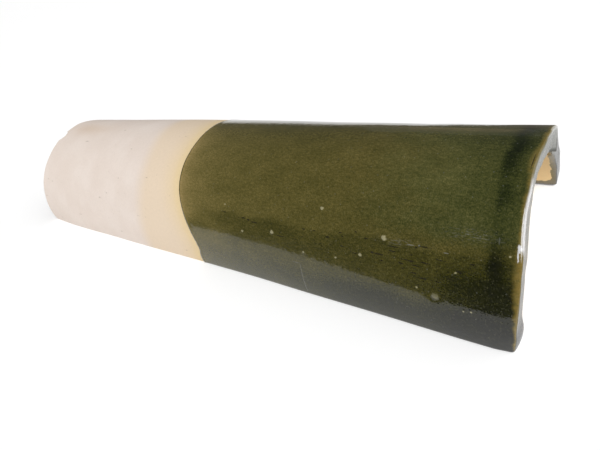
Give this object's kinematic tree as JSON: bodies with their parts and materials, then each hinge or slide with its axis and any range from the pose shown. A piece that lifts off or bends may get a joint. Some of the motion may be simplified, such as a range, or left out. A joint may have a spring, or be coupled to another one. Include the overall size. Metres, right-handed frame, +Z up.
{
  "type": "barrel roof tile",
  "caption": "Half-round fired-clay roof tile, glazed over its exposed mouth half and bare over the tail half that the next tile laps; stands on its two long feet.",
  "frame": {"origin": "on the standing plane, under the middle of the tile", "axes": "+X along the tile from the bare tail to the glazed mouth, +Y across, +Z up through the crown"},
  "size_m": [0.32, 0.097, 0.0495],
  "materials": {
    "glazed_clay": "gloss olive-green glaze on the mouth half, bare cream fired clay on the tail half and inside"
  },
  "bodies": {
    "root": {"barrel_tile": "glazed_clay"}
  },
  "joints": []
}
